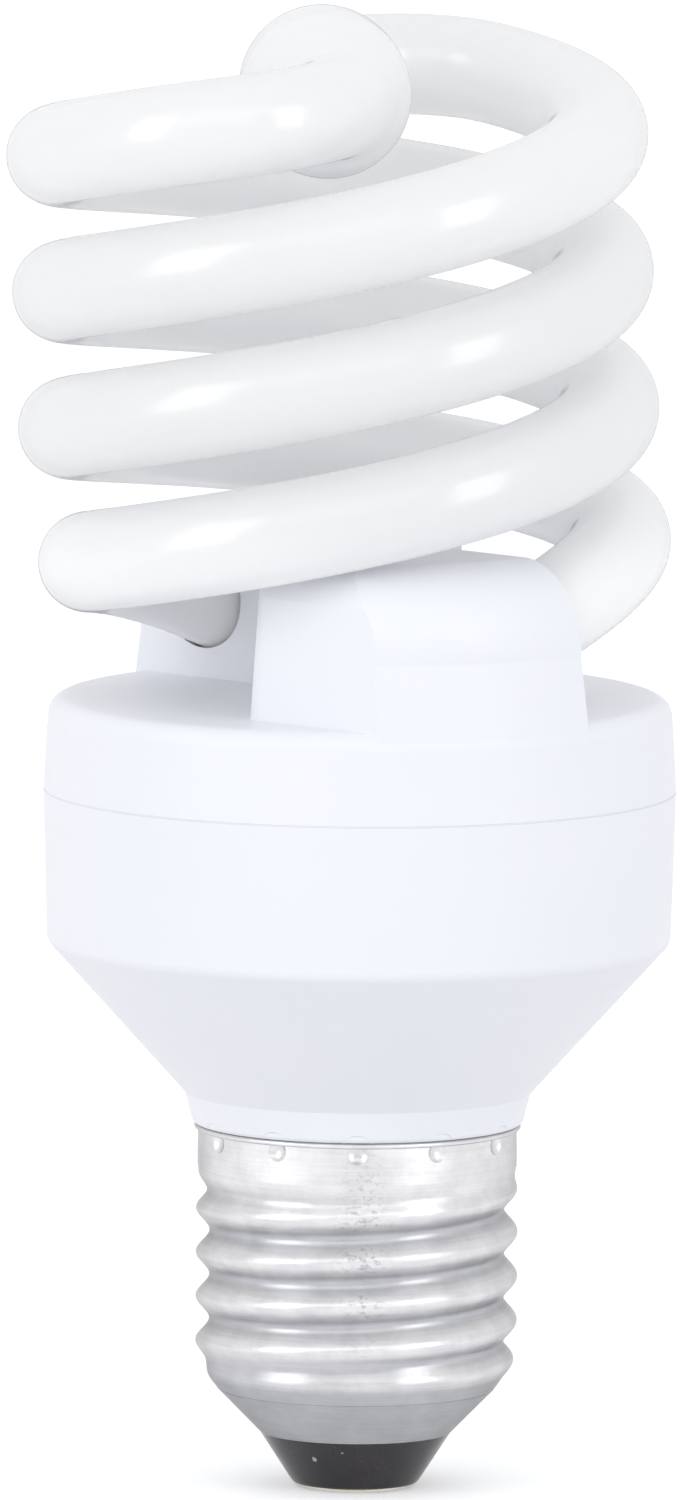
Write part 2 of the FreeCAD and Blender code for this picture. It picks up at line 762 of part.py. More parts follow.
def half_path():
    """Gives the stations of one strand from the bridge's middle to its end, with its tube radii."""
    plan, join = bridge_plan()
    last = entry_angle() - size("end_inside")
    turns = int((join - last) / HELIX_STEP) + 1
    helix = [helix_station(join + (last - join) * step / turns) for step in range(turns + 1)]
    lengths = [0.0]
    for start, end in zip(plan, plan[1:] + helix[:1]):
        lengths.append(lengths[-1] + math.hypot(end.x - start.x, end.y - start.y))
    whole = lengths[-1]
    rise = size("bridge_z") - helix[0].z
    slope = size("coil_pitch") * whole / (2 * math.pi * size("coil_radius"))
    path = []
    for point, length in zip(plan, lengths):
        share = length / whole
        fall = rise * (3 * share ** 2 - 2 * share ** 3) + slope * (share ** 3 - share ** 2)
        radius = size("tube_radius") + (size("bulb_radius") - size("tube_radius")) * math.exp(
            -(length / size("bulb_reach")) ** SWELL_POWER)
        path.append((FreeCAD.Vector(point.x, point.y, size("bridge_z") - fall), radius))
    return path + [(point, size("tube_radius")) for point in helix]


def leaned(point):
    """Moves a point as the coil leans to the left and to the front, but for its ends in the legs."""
    lean = math.sin(math.radians(size("coil_lean")))
    nod = math.sin(math.radians(size("coil_nod")))
    rise = point.z - size("cover_top_z")
    shift = smoothstep(size("lean_start"), size("shift_full"), rise)
    tilt = smoothstep(size("lean_start"), size("tilt_full"), rise)
    return FreeCAD.Vector(point.x + (size("coil_shift") - rise * lean) * shift, point.y - rise * nod * shift,
                          point.z + (point.x * lean + point.y * nod) * tilt)


def strand(path, side):
    """Gives a path on the first side, or turned half round, with the lean."""
    return [(leaned(FreeCAD.Vector(side * point.x, side * point.y, point.z)), radius)
            for point, radius in path]


def tube_solid(stations):
    """Makes a solid of exact round sections along stations of (centre, radius)."""
    centres = [centre for centre, radius in stations]
    parameters = [0.0]
    for start, end in zip(centres, centres[1:]):
        parameters.append(parameters[-1] + (end - start).Length)
    line = Part.BSplineCurve()
    line.interpolate(Points=centres, Parameters=parameters)
    up = FreeCAD.Vector(0, 0, 1)
    corner = math.sqrt(0.5)
    rings = []
    for (centre, radius), parameter in zip(stations, parameters):
        along = line.tangent(parameter)[0]
        side = along.cross(up).normalize()
        rise = side.cross(along)
        ring = []
        for step in range(9):
            turn = math.pi / 4 * step
            reach = radius if step % 2 == 0 else radius / corner
            ring.append(centre + (rise * math.cos(turn) + side * math.sin(turn)) * reach)
        rings.append(ring)
    tracks = []
    for step in range(9):
        track = Part.BSplineCurve()
        track.interpolate(Points=[ring[step] for ring in rings], Parameters=parameters)
        tracks.append(track)
    poles = [list(row) for row in zip(*[track.getPoles() for track in tracks])]
    faces = []
    for half in (0, 4):
        surface = Part.BSplineSurface()
        surface.buildFromPolesMultsKnots(
            [row[half:half + 5] for row in poles], tracks[0].getMultiplicities(), [3, 2, 3],
            tracks[0].getKnots(), [0.0, 0.5, 1.0], False, False, 3, 2,
            [[1.0, corner, 1.0, corner, 1.0] for row in poles])
        count = max(1, round((len(parameters) - 1) / STATIONS_PER_FACE))
        breaks = [parameters[round((len(parameters) - 1) * part / count)] for part in range(count + 1)]
        for start, end in zip(breaks, breaks[1:]):
            piece = surface.copy()
            piece.segment(start, end, 0.0, 1.0)
            faces.append(piece.toShape())
    for centre, ring in ((centres[0], rings[0]), (centres[-1], rings[-1])):
        edges = [edge for face in faces for edge in face.Edges
                 if all((vertex.Point - centre).Length < (ring[0] - centre).Length * 1.001
                        for vertex in edge.Vertexes) and len(edge.Vertexes) == 2
                 and (edge.CenterOfMass - centre).Length < (ring[0] - centre).Length * 0.9]
        faces.append(Part.Face(Part.Wire(Part.__sortEdges__(edges))))
    return sewn_solid(faces)


def end_stretch(radius, first, last):
    """Gives stations of a strand's end between two angles past the leg's entry face."""
    steps = 6
    return [(helix_station(entry_angle() - first - (last - first) * step / steps), radius)
            for step in range(steps + 1)]


def glass_spiral_tube():
    """Makes the whole tube: one strand up, over the bridge and the other strand down."""
    path = half_path()
    other = strand(path, -1)
    stations = list(reversed(other)) + strand(path, 1)[1:]
    return shaped("glass_spiral_tube", tube_solid(stations))


def tube_ends(radius, first, last):
    """Makes the pieces of both strands' ends between two angles, at a given radius."""
    stretch = end_stretch(radius, first, last)
    return [tube_solid(strand(stretch, side)) for side in (1, -1)]


def upper_cover():
    """Makes the cover: top, skirt and two hollow legs, less the holes for the tube."""
    top = turned("cover_shell", [
        ("skirt_bore", "board_top"),
        ("skirt_radius", "board_top"),
        ("skirt_radius", "bead_z - bead_height"),
        ("skirt_radius + bead_height", "bead_z"),
        ("skirt_radius", "bead_z + bead_height"),
        ("skirt_radius", "cover_base_z"),
        ("seam_radius", "cover_base_z"),
        ("cover_top_radius", "cover_top_z"),
        ("0", "cover_top_z"),
        ("0", "cover_roof_z"),
        ("cover_bore", "cover_roof_z"),
        ("cover_bore", "cover_base_z + cover_wall"),
        ("skirt_bore", "cover_base_z + cover_wall"),
    ])
    round_rim(top, "cover_top_radius", "cover_top_z", "cover_rounding")
    wall = size("leg_wall")
    leg = leg_form(0.0, size("cover_roof_z"), size("leg_top_z"))
    hollow = leg_form(wall, size("cover_roof_z - cut_overrun"), size("leg_top_z") - wall)
    holes = tube_ends(size("tube_radius + tube_hole_clearance"), size("0 - tube_hole_run_in"),
                      size("end_inside"))
    legs = [shaped("front_leg", leg), shaped("back_leg", half_turn(leg))]
    hollows = shaped("cover_cuts", Part.makeCompound([hollow, half_turn(hollow)] + holes))
    return cut("upper_cover", fused("cover_with_legs", [top] + legs), hollows)


def tube_cement():
    """Makes the ring of cement round each end of the tube, against the inside of the leg's wall."""
    last = size("cement_length")
    outer = tube_ends(size("tube_radius + cement_wall"), 0.0, last)
    overrun = size("cement_overrun")
    inner = tube_ends(size("tube_radius + cement_film"), -overrun, last + overrun)
    room = leg_form(size("leg_wall + cement_clearance"), size("cover_roof_z"),
                    size("leg_top_z - leg_wall - cement_clearance"))
    rings = [ring.common(space).cut(bore) for ring, bore, space in zip(outer, inner, (room, half_turn(room)))]
    return shaped("tube_cement", Part.makeCompound(rings))


# Parts on the board, each built about its own centre with the board's underside at zero

def on_board(item, place):
    """Stands a part or its holes at its place under the board."""
    return put(item, f"{place}_x * board_radius", f"{place}_y * board_radius", "board_z", f"{place}_turn")


board_holes = []


def leads(name, place, spots, start="0 - part_gap"):
    """Makes straight leads through the board and the holes that they pass."""
    pins = []
    holes = []
    for number, (x, y) in enumerate(spots, start=1):
        pins.append(rod(f"{name}_lead_{number}", "lead_radius",
                        f"board_thickness + lead_tip - ({start})", start, x, y))
        holes.append(rod(f"{name}_hole_{number}", "lead_radius + lead_hole_clearance",
                         "board_thickness + 2 * cut_overrun", "0 - cut_overrun", x, y))
    board_holes.append(on_board(grouped(f"{name}_holes", holes), place))
    return pins


def pair(pitch):
    """Gives two spots on X, a pitch apart."""
    return [(f"0 - {pitch} / 2", "0"), (f"{pitch} / 2", "0")]


def bulk_capacitor():
    """Makes the upright can with the groove rolled round its open end."""
    can = rod("can_body", "can_radius", "can_length", "0 - part_gap - can_length")
    groove = bind(doc.addObject("Part::Torus", "can_groove"), Radius1="can_radius + groove_offset",
                  Radius2="groove_radius")
    put(groove, z="0 - part_gap - groove_height")
    pins = leads("bulk_capacitor", "bulk_capacitor", pair("can_lead_pitch"), "0 - part_gap - lead_sink")
    return on_board(fused("bulk_capacitor", [cut("can_grooved", can, groove)] + pins), "bulk_capacitor")


def choke():
    """Makes the choke's ferrite core, its bobbin with pins and its winding."""
    frame = block("core_frame", "core_width", "core_depth", "core_height", "core_bottom")
    windows = [block(f"core_window_{number}", "core_window", "core_depth + 2 * cut_overrun", "window_height",
                     "window_bottom", f"{sign} (core_leg + core_window) / 2")
               for number, sign in ((1, "0 -"), (2, "0 +"))]
    core = cut("choke_core", frame, grouped("core_windows", windows))
    tube = block("bobbin_tube", "bobbin_tube_width", "bobbin_tube_depth", "bobbin_height", "bobbin_bottom")
    flanges = [block(f"bobbin_flange_{number}", "bobbin_width", "bobbin_depth", "bobbin_flange", z)
               for number, z in ((1, "bobbin_bottom"), (2, "bobbin_bottom + bobbin_height - bobbin_flange"))]
    spots = [(f"{x} (bobbin_width / 2 - pin_inset)", f"{y} (bobbin_depth / 2 - pin_inset)")
             for x in ("0 -", "0 +") for y in ("0 -", "0 +")]
    pins = leads("choke_bobbin", "choke", spots, "bobbin_bottom + bobbin_height - bobbin_flange / 2")
    bore = block("bobbin_bore", "bobbin_bore_width", "bobbin_bore_depth", "core_height", "core_bottom")
    bobbin = cut("choke_bobbin", fused("bobbin_body", [tube] + flanges + pins), bore)
    room = "bobbin_height - 2 * bobbin_flange - 2 * bobbin_clearance"
    low = "bobbin_bottom + bobbin_flange + bobbin_clearance"
    outer = block("winding_outside", "bobbin_width - 2 * winding_inset", "bobbin_depth - 2 * winding_setback",
                  room, low)
    rounded = doc.addObject("Part::Fillet", "winding_rounded")
    doc.recompute()
    corners = [number for number, edge in enumerate(outer.Shape.Edges, start=1) if edge.BoundBox.ZLength > 1]
    corner = size("winding_corner")
    rounded.Base = outer
    rounded.Edges = [(number, corner, corner) for number in corners]
    inner = block("winding_inside", "bobbin_tube_width + 2 * bobbin_clearance",
                  "bobbin_tube_depth + 2 * bobbin_clearance", "core_height", "core_bottom")
    winding = cut("choke_winding", rounded, inner)
    return [on_board(item, "choke") for item in (core, bobbin, winding)]


def drive_toroid():
    """Makes the small ferrite ring that stands under the board, and the loops wound on it."""
    ring = rod("toroid_ring", "toroid_radius", "toroid_height", "0 - part_gap - toroid_stand - toroid_height")
    bore = rod("toroid_hole", "toroid_bore", "toroid_height + 2 * cut_overrun",
               "0 - part_gap - toroid_stand - toroid_height - cut_overrun")
    core = on_board(cut("drive_toroid", ring, bore), "drive_toroid")
    middle = size("(toroid_radius + toroid_bore) / 2")
    wire = size("winding_wire_radius")
    width = size("toroid_radius - toroid_bore") / 2 + wire + size("winding_clearance")
    height = size("toroid_height") / 2 + wire + size("winding_clearance")
    loops = []
    for turn in range(TOROID_TURNS):
        section = Part.Face(Part.Wire(Part.makeCircle(wire, FreeCAD.Vector(middle + width, 0, 0),
                                                      FreeCAD.Vector(0, 0, 1))))
        corners = [FreeCAD.Vector(middle + x * width, 0, z * height)
                   for x, z in ((1, 0), (1, 1), (-1, 1), (-1, -1), (1, -1))]
        loop = Part.makePolygon(corners + corners[:1])
        swept = Part.Wire(loop).makePipeShell([section.OuterWire], True, False, 1)
        swept.rotate(FreeCAD.Vector(), FreeCAD.Vector(0, 0, 1), 360 * turn / TOROID_TURNS + TOROID_START)
        loops.append(swept)
    windings = shaped("toroid_windings", Part.makeCompound(loops))
    put(windings, "drive_toroid_x * board_radius", "drive_toroid_y * board_radius",
        "board_z - part_gap - toroid_stand - toroid_height / 2", "drive_toroid_turn")
    return [core, windings]


def transistor(name):
    """Makes a flat transistor with three leads and a notch in its back."""
    case = block(f"{name}_case", "transistor_width", "transistor_depth", "transistor_height",
                 "0 - part_gap - transistor_height")
    spots = [("0 - transistor_lead_pitch", "0"), ("0", "0"), ("transistor_lead_pitch", "0")]
    notch = rod(f"{name}_notch", "notch_radius", "notch_depth")
    notch.Placement.Rotation = FreeCAD.Rotation(FreeCAD.Vector(1, 0, 0), -RIGHT_ANGLE)
    notch.setExpression("Placement.Base.y", formula("0 - transistor_depth / 2"))
    notch.setExpression("Placement.Base.z", formula("0 - part_gap - notch_drop"))
    body = cut(f"{name}_body", case, notch)
    return on_board(fused(name, [body] + leads(name, name, spots, "0 - part_gap - lead_sink")), name)


def film_capacitor(name, kind):
    """Makes a boxed film capacitor with rounded edges and two leads."""
    case = block(f"{name}_case", f"{kind}_width", f"{kind}_depth", f"{kind}_height",
                 f"0 - part_gap - {kind}_height")
    doc.recompute()
    rounded = doc.addObject("Part::Fillet", f"{name}_rounded")
    rounded.Base = case
    corner = size("film_corner")
    rounded.Edges = [(number, corner, corner) for number, edge in enumerate(case.Shape.Edges, start=1)
                     if edge.BoundBox.ZLength > 1]
    pins = leads(name, name, pair(f"({kind}_width - 2 * film_lead_inset)"),
                 "0 - part_gap - lead_sink")
    return on_board(fused(name, [rounded] + pins), name)


def axial_part(name, kind):
    """Makes a part that lies under the board, with a bent lead at each end."""
    height = f"0 - part_gap - {kind}_radius"
    body = level_rod(f"{name}_body", f"{kind}_radius", f"{kind}_length", height)
    wire = level_rod(f"{name}_wire", "lead_radius", f"{kind}_lead_pitch", height)
    bends = []
    for number, (x, y) in enumerate(pair(f"{kind}_lead_pitch"), start=1):
        ball = bind(doc.addObject("Part::Sphere", f"{name}_bend_{number}"), Radius="lead_radius")
        bends.append(put(ball, x, y, height))
    pins = leads(name, name, pair(f"{kind}_lead_pitch"), height)
    return on_board(fused(f"{name}_part", [body, wire] + bends + pins), name)


def thermistor():
    """Makes the coated disc that stands on edge under the board."""
    disc = doc.addObject("Part::Cylinder", "thermistor_disc")
    bind(disc, Radius="disc_radius", Height="disc_thickness")
    disc.Placement.Rotation = FreeCAD.Rotation(FreeCAD.Vector(1, 0, 0), RIGHT_ANGLE)
    disc.setExpression("Placement.Base.y", formula("disc_thickness / 2"))
    disc.setExpression("Placement.Base.z", formula("0 - part_gap - disc_radius"))
    pins = leads("thermistor", "thermistor", pair("disc_lead_pitch"), "0 - part_gap - disc_lead_depth")
    return on_board(fused("thermistor", [disc] + pins), "thermistor")


def filter_inductor():
    """Makes the drum-shaped inductor."""
    low = "0 - part_gap - drum_height"
    ends = [rod("drum_flange_1", "drum_radius", "drum_flange", low),
            rod("drum_flange_2", "drum_radius", "drum_flange", f"{low} + drum_height - drum_flange")]
    waist = rod("drum_waist_rod", "drum_waist", "drum_height", low)
    pins = leads("filter_inductor", "filter_inductor", pair("drum_lead_pitch"), "0 - part_gap - lead_sink")
    return on_board(fused("filter_inductor", ends + [waist] + pins), "filter_inductor")


# Wires and posts

TIP_STEP = 1.0


def wire_along(points, radius):
    """Makes a round wire along straight runs joined by tangent bends."""
    bend = size("wire_bend")
    edges = []
    start = points[0]
    for before, corner, after in zip(points, points[1:], points[2:]):
        back = (before - corner).normalize()
        onward = (after - corner).normalize()
        half = back.getAngle(onward) / 2
        room = min((before - corner).Length, (after - corner).Length) * 0.45
        reach = min(bend / math.tan(half), room)
        middle = (back + onward).normalize()
        bend_radius = reach * math.tan(half)
        apex = corner + middle * (bend_radius / math.sin(half) - bend_radius)
        edges.append(Part.makeLine(start, corner + back * reach))
        edges.append(Part.Arc(corner + back * reach, apex, corner + onward * reach).toShape())
        start = corner + onward * reach
    edges.append(Part.makeLine(start, points[-1]))
    section = Part.Wire(Part.makeCircle(radius, points[0], points[1] - points[0]))
    return Part.Wire(edges).makePipeShell([section], True, False, 0)


def board_hole(name, x, y, radius):
    """Adds a hole through the board for a wire or a post."""
    board_holes.append(rod(name, radius, "board_thickness + 2 * cut_overrun", "board_z - cut_overrun", x, y))


def tube_tip(side):
    """Gives two points of a strand's path, at and just before its end."""
    last = size("end_inside")
    return [centre for centre, radius in strand(end_stretch(1.0, last - TIP_STEP, last), side)[-2:]]


def post_spots():
    """Gives the four posts' places on the board, two below each end of the tube."""
    spots = []
    for side in (1, -1):
        end = tube_tip(side)[-1]
        reach = math.hypot(end.x, end.y)
        angle = math.degrees(math.atan2(end.y, end.x))
        spots += [polar(reach + half * size("post_spacing") / 2, angle) for half in (-1, 1)]
    return spots


def wire_posts():
    """Makes the square posts, each with a collar that stands on the board."""
    posts = []
    side = size("post_side")
    collar = size("post_collar")
    rim_side = side + 2 * size("post_rim")
    depth = size("board_thickness + post_tip")
    for spot in post_spots():
        turn = math.degrees(math.atan2(spot.y, spot.x))
        length = size("post_height") + depth
        pin = Part.makeBox(side, side, length, FreeCAD.Vector(-side / 2, -side / 2, -depth))
        rim = Part.makeBox(rim_side, rim_side, collar, FreeCAD.Vector(-rim_side / 2, -rim_side / 2, 0))
        post = pin.fuse(rim)
        post.rotate(FreeCAD.Vector(), FreeCAD.Vector(0, 0, 1), turn)
        post.translate(FreeCAD.Vector(spot.x, spot.y, size("board_top")))
        posts.append(post)
    hole = side * math.sqrt(0.5) + size("lead_hole_clearance")
    low = size("board_z - cut_overrun")
    drills = [Part.makeCylinder(hole, size("board_thickness + 2 * cut_overrun"),
                                FreeCAD.Vector(spot.x, spot.y, low)) for spot in post_spots()]
    board_holes.append(shaped("post_holes", Part.makeCompound(drills)))
    return shaped("wire_posts", Part.makeCompound(posts))


def electrode_wires():
    """Makes the four wires from the tube's ends down to the posts' tops."""
    wires = []
    run = size("electrode_run")
    spots = post_spots()
    for side in (1, -1):
        before, end = tube_tip(side)
        along = (end - before).normalize()
        across = along.cross(FreeCAD.Vector(0, 0, 1)).normalize()
        pair_of_spots = spots[:2] if side == 1 else spots[2:]
        for spot in pair_of_spots:
            offset = across * math.copysign(size("electrode_spacing") / 2,
                                            across.dot(spot - FreeCAD.Vector(end.x, end.y, 0)))
            start = end + offset + along * size("electrode_gap")
            top = FreeCAD.Vector(spot.x, spot.y, size("board_top + post_height"))
            wires.append(wire_along([start, start + along * run, top + FreeCAD.Vector(0, 0, run), top],
                                    size("electrode_wire_radius")))
    return shaped("electrode_wires", Part.makeCompound(wires))


def contact_wire():
    """Makes the wire from the centre contact up to the fusible resistor."""
    x = size("contact_wire_x")
    points = [FreeCAD.Vector(0, 0, size("contact_seat_z")),
              FreeCAD.Vector(0, 0, size("insulator_top_z + contact_wire_rise")),
              FreeCAD.Vector(x, 0, size("fuse_z - contact_wire_run")), FreeCAD.Vector(x, 0, size("fuse_z"))]
    return shaped("contact_wire", wire_along(points, size("wire_radius")))


def fusible_resistor():
    """Makes the upright resistor in the neck, with its lead up to the board."""
    body = rod("fuse_body", "fuse_radius", "fuse_length", "fuse_z", "contact_wire_x")
    lead = rod("fuse_lead", "lead_radius", "board_top + lead_tip - fuse_top_z + lead_sink",
               "fuse_top_z - lead_sink", "contact_wire_x")
    board_hole("fuse_hole", "contact_wire_x", "0", "lead_radius + lead_hole_clearance")
    return fused("fusible_resistor", [body, lead])


def shell_wire():
    """Makes the wire from the board down the neck and round the spigot's edge into its slot."""
    x = size("shell_wire_x")
    slot_x = -(size("spigot_lower_radius") - size("wire_radius"))
    loop = size("shell_wire_loop_z")
    points = [FreeCAD.Vector(x, 0, size("board_top + lead_tip")), FreeCAD.Vector(x, 0, loop),
              FreeCAD.Vector(slot_x, 0, loop), FreeCAD.Vector(slot_x, 0, size("shell_wire_tip_z"))]
    board_hole("shell_wire_hole", "shell_wire_x", "0", "wire_radius + lead_hole_clearance")
    return shaped("shell_wire", wire_along(points, size("wire_radius")))


def circuit_board():
    """Cuts every lead's hole through the round board."""
    disc = rod("board_disc", "board_radius", "board_thickness", "board_z")
    return cut("circuit_board", disc, grouped("board_holes", board_holes))


def write_parts(items):
    """Checks every object and writes each sub-part under its own name."""
    doc.recompute()
    failed = [item.Name for item in doc.Objects if "Invalid" in item.State or "Error" in item.State]
    if failed:
        raise RuntimeError("failed objects: " + ", ".join(failed))
    os.makedirs("parts", exist_ok=True)
    for item in items:
        item.Label = item.Name
        if item.Shape.isNull() or not item.Shape.isValid():
            raise RuntimeError("bad shape: " + item.Name)
        item.Shape.exportStep(f"parts/{item.Label}.step")
        print(item.Label, len(item.Shape.Solids), round(item.Shape.Volume, 1))


parts = [
    centre_contact(),
    cap_insulator(),
    cap_shell(),
    lower_housing(),
    upper_cover(),
    glass_spiral_tube(),
    tube_cement(),
    bulk_capacitor(),
    *choke(),
    *drive_toroid(),
    transistor("transistor_1"),
    transistor("transistor_2"),
    film_capacitor("resonant_capacitor", "large_film"),
    film_capacitor("start_capacitor", "small_film"),
    grouped("rectifier_diodes", [axial_part(f"diode_{number}", "diode") for number in range(1, 5)]),
    grouped("resistors", [axial_part(f"resistor_{number}", "resistor") for number in range(1, 5)]),
    grouped("diac", [axial_part("diac", "diac")]),
    thermistor(),
    filter_inductor(),
    fusible_resistor(),
    contact_wire(),
    shell_wire(),
    wire_posts(),
    electrode_wires(),
    circuit_board(),
]
write_parts(parts)
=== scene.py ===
import math

import bpy
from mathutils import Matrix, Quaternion, Vector


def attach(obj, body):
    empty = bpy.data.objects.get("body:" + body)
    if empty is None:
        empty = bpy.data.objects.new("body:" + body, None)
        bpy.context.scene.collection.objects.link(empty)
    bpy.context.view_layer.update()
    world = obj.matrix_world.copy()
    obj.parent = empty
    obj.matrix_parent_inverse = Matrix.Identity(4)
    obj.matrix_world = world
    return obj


# Spiral energy saving lamp, seen from the front and a little above, on a white ground.
# Metres. Z is the lamp's axis, -Y is the side that faces the camera.

MM = 0.001
WHITE = (1.0, 1.0, 1.0, 1.0)

# The photograph's view: the lamp's axis and the point at AIM_HEIGHT on it lie at
# AXIS_COLUMN and AIM_ROW of an image of 680 x 1500
IMAGE_WIDTH = 680
IMAGE_HEIGHT = 1500
PIXELS_PER_METRE = 12300
AXIS_COLUMN = 360
AIM_ROW = 754.7
AIM_HEIGHT = 60 * MM
VIEW_DISTANCE = 2.4
VIEW_ELEVATION = math.radians(7.1)
VIEW_ROLL = math.radians(0.4)
SENSOR = 36.0

# Light: an even surround, a ground that glows a little where it is seen, and three large soft
# boxes in front: to the left, to the right and above, each with its place, width, height and watts
SURROUND = (0.79, 0.80, 0.82)
GROUND_SIZE = 30.0
GROUND_GLOW = 0.36
SOFT_BOXES = {
    "soft_box_left": ((-1.0, -0.62, 0.40), 0.6, 1.0, 3.3),
    "soft_box_right": ((0.85, -0.78, 0.36), 0.42, 1.0, 2.7),
    "soft_box_front": ((-0.1, -1.0, 0.75), 1.1, 0.6, 1.0),
}

# Places on the CAD pieces: the seam between the cover and the housing, the cap's upper rim, the
# neck's lower edge, the cap's thread, and the levels between which the tube leaves its legs
SEAM_RADIUS = 25.73 * MM
SEAM_HEIGHT = 57.275 * MM
RIM_RADIUS = 13.0 * MM
RIM_HEIGHT = 29.64 * MM
NECK_RADIUS = 13.1 * MM
NECK_HEIGHT = 30.32 * MM
THREAD_ROOT = 11.9 * MM
THREAD_CREST = 13.1 * MM
LEG_TOP = 74 * MM
COIL_CLEAR = 84 * MM

# Thin rings in those places: half the width and half the height of each oval section, how far
# inside the seam its ring lies, and into how many steps and sides a ring is divided
SEAM_LIP = (0.14 * MM, 0.12 * MM)
SEAM_LIP_INSET = 0.2 * MM
NECK_LIP = (0.39 * MM, 0.42 * MM)
CAP_RIM = (0.3 * MM, 0.24 * MM)
RING_STEPS = 360
RING_SIDES = 16

# How far light soaks into the tube, in its legs and in its coil
SOAK_IN_LEGS = 4 * MM
SOAK_IN_COIL = 34 * MM

# Patches of painted shade on the tube's bulge, where the tube folds into it, each with its centre and
# its size, then how far a patch's edge wanders and where it fades, as shares of the size
FOLD_SHADE_PATCHES = (
    ((-8.0 * MM, 0.0 * MM, 117.4 * MM), 3.2 * MM),
    ((-2.8 * MM, -6.0 * MM, 108.4 * MM), 3.2 * MM),
)
PATCH_WANDER = 0.3
PATCH_FADE = (0.3, 1.5)

# The pitted strip down the front of the cap: its centre, its half width, how much taller it is,
# and where it fades, as shares of the half width
PITTED_STRIP = (0.5 * MM, -13.0 * MM, 21.0 * MM)
PITTED_WIDTH = 2.4 * MM
PITTED_TALLER = 4.0
PITTED_FADE = (0.2, 1.3)

# Plain finishes of the inner pieces and the contact: the two tints, the cells per metre in which
# they change, the roughness, the depth of the grain and how metallic the surface is
PLAIN_FINISHES = {
    "moulded_black": ((0.02, 0.02, 0.022), (0.035, 0.035, 0.038), 400, 0.35, 0.01 * MM, 0.0),
    "ferrite": ((0.05, 0.05, 0.055), (0.09, 0.09, 0.095), 700, 0.6, 0.02 * MM, 0.0),
    "film_coating": ((0.36, 0.05, 0.02), (0.46, 0.08, 0.035), 200, 0.2, 0.02 * MM, 0.0),
    "resistor_coating": ((0.5, 0.37, 0.24), (0.6, 0.46, 0.31), 300, 0.25, 0.01 * MM, 0.0),
    "disc_coating": ((0.07, 0.22, 0.07), (0.12, 0.31, 0.12), 300, 0.3, 0.02 * MM, 0.0),
    "can_sleeve": ((0.012, 0.03, 0.1), (0.02, 0.045, 0.14), 150, 0.22, 0.01 * MM, 0.0),
    "cement": ((0.74, 0.73, 0.69), (0.86, 0.85, 0.8), 500, 0.85, 0.08 * MM, 0.0),
    "board_laminate": ((0.5, 0.36, 0.17), (0.62, 0.47, 0.25), 250, 0.5, 0.01 * MM, 0.0),
    "enamelled_copper": ((0.62, 0.26, 0.1), (0.75, 0.36, 0.16), 800, 0.28, 0.02 * MM, 0.8),
    "tinned_wire": ((0.62, 0.62, 0.63), (0.74, 0.74, 0.74), 900, 0.3, 0.005 * MM, 1.0),
    "tinned_brass": ((0.62, 0.56, 0.42), (0.75, 0.69, 0.55), 900, 0.32, 0.005 * MM, 1.0),
}
ROUGHNESS_SPREAD = 0.06

# The plain finish of each CAD node that has one
PLAIN_NODES = {
    "centre_contact": "tinned_brass",
    "tube_cement": "cement",
    "circuit_board": "board_laminate",
    "bulk_capacitor": "can_sleeve",
    "choke_core": "ferrite",
    "choke_bobbin": "moulded_black",
    "choke_winding": "enamelled_copper",
    "drive_toroid": "ferrite",
    "toroid_windings": "enamelled_copper",
    "transistor_1": "moulded_black",
    "transistor_2": "moulded_black",
    "resonant_capacitor": "film_coating",
    "start_capacitor": "film_coating",
    "rectifier_diodes": "moulded_black",
    "resistors": "resistor_coating",
    "diac": "moulded_black",
    "thermistor": "disc_coating",
    "filter_inductor": "ferrite",
    "fusible_resistor": "resistor_coating",
    "wire_posts": "tinned_wire",
    "electrode_wires": "tinned_wire",
    "contact_wire": "tinned_wire",
    "shell_wire": "tinned_wire",
}


def color(red, green, blue):
    """Gives a colour with full opacity."""
    return (red, green, blue, 1.0)


# Nodes of a material

